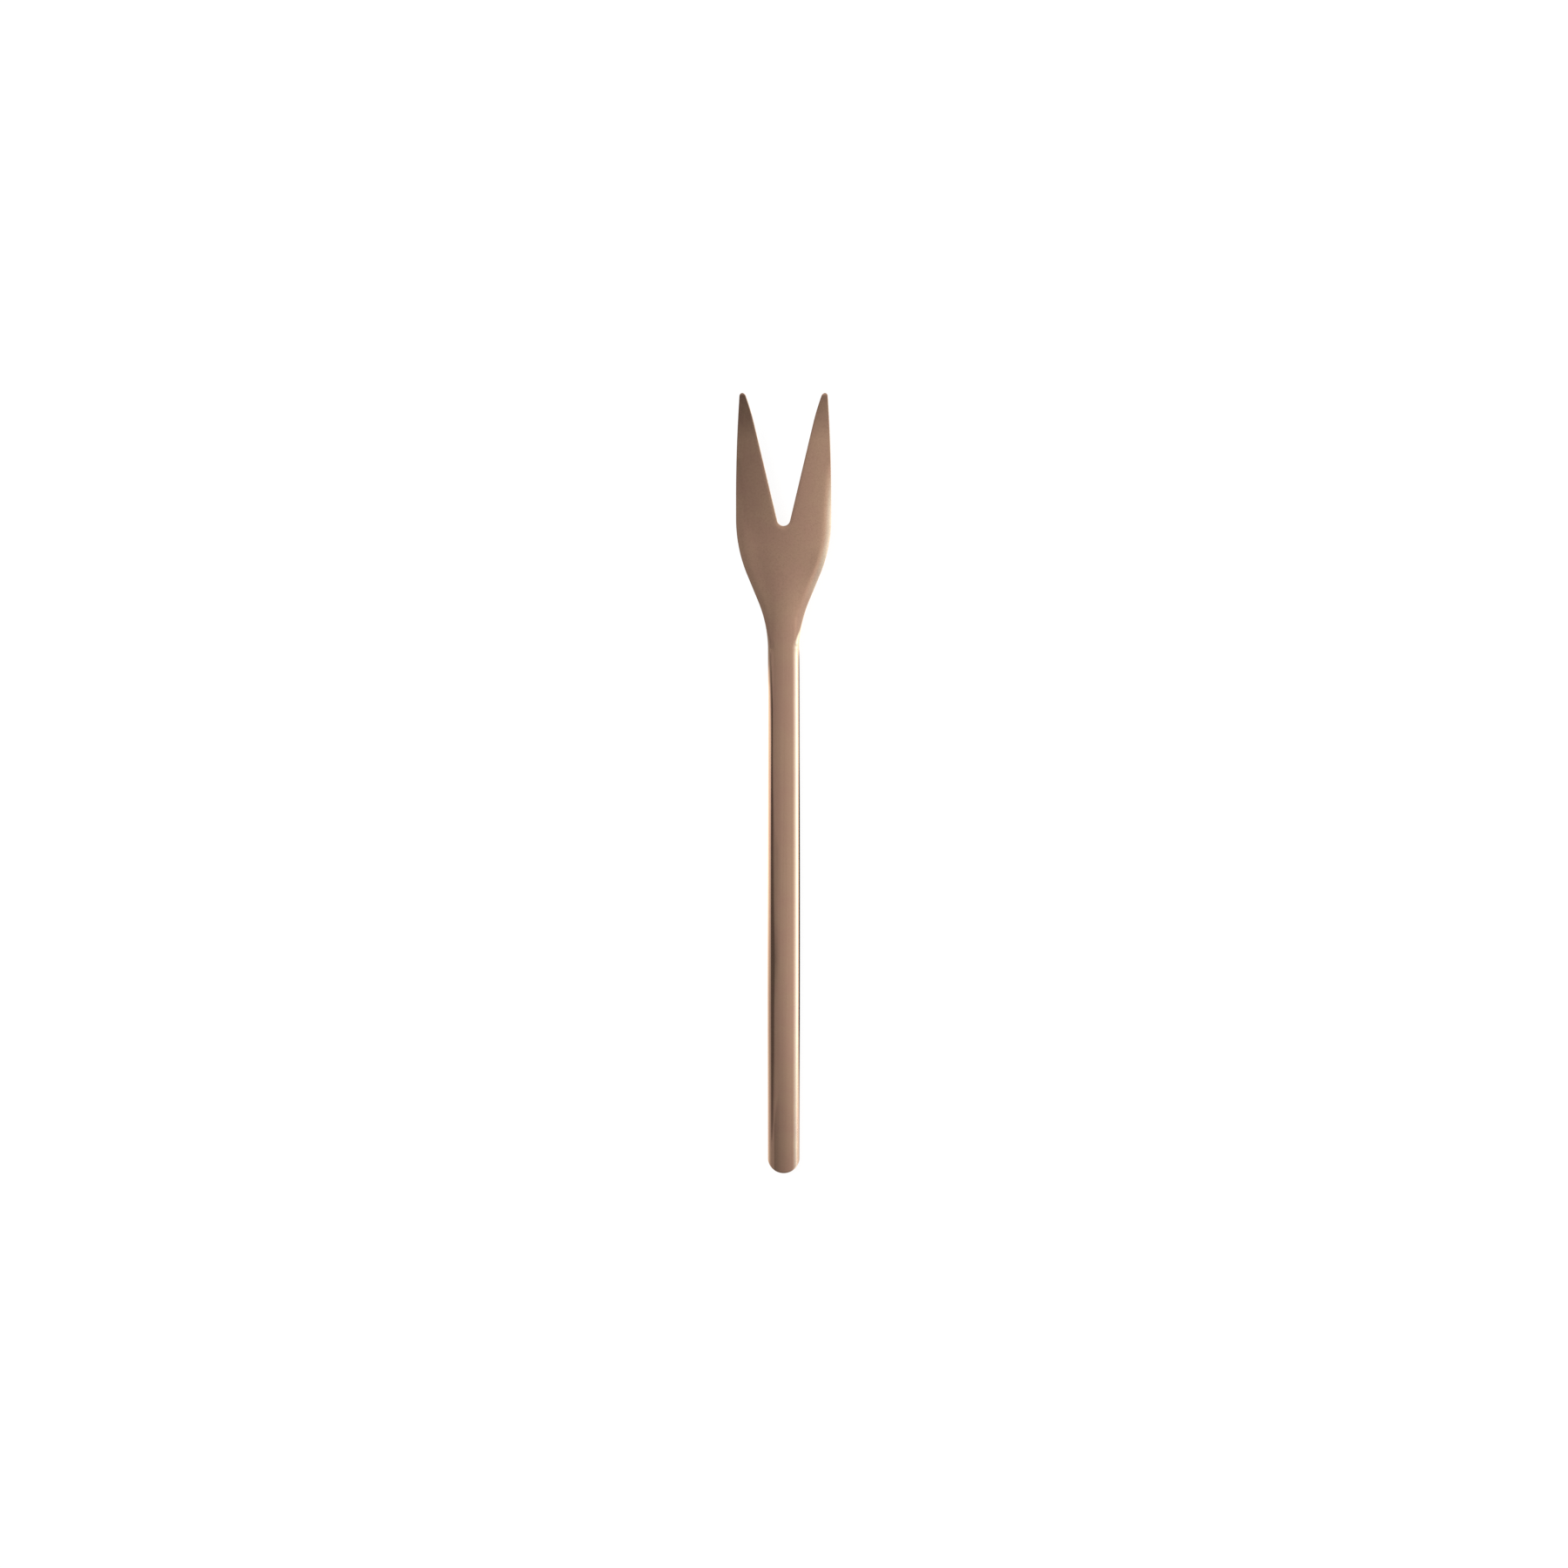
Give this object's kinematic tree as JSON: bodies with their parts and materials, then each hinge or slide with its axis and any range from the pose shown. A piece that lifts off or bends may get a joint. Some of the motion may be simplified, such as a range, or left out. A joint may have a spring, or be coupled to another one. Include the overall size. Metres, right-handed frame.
{
  "type": "cocktail fork",
  "caption": "Slim forked cocktail fork with pointed tines, a deep V notch and a straight round-edged hollow handle, for spearing garnishes, fruit and small food.",
  "frame": {"origin": "on the plane that the fork rests on, below the middle of its bounding box", "axes": "+Y along the fork from the butt of the handle to the tips, +X to the right seen from the front, +Z out of the front face"},
  "size_m": [0.0184, 0.15, 0.006],
  "materials": {
    "copper_head": "satin",
    "copper_handle": "gloss",
    "braze": "satin",
    "core_cement": "matte"
  },
  "bodies": {
    "root": {"fork_head": "copper_head", "neck_braze": "braze", "handle_front_shell": "copper_handle", "handle_back_shell": "copper_handle", "tang_core": "core_cement"}
  },
  "joints": []
}
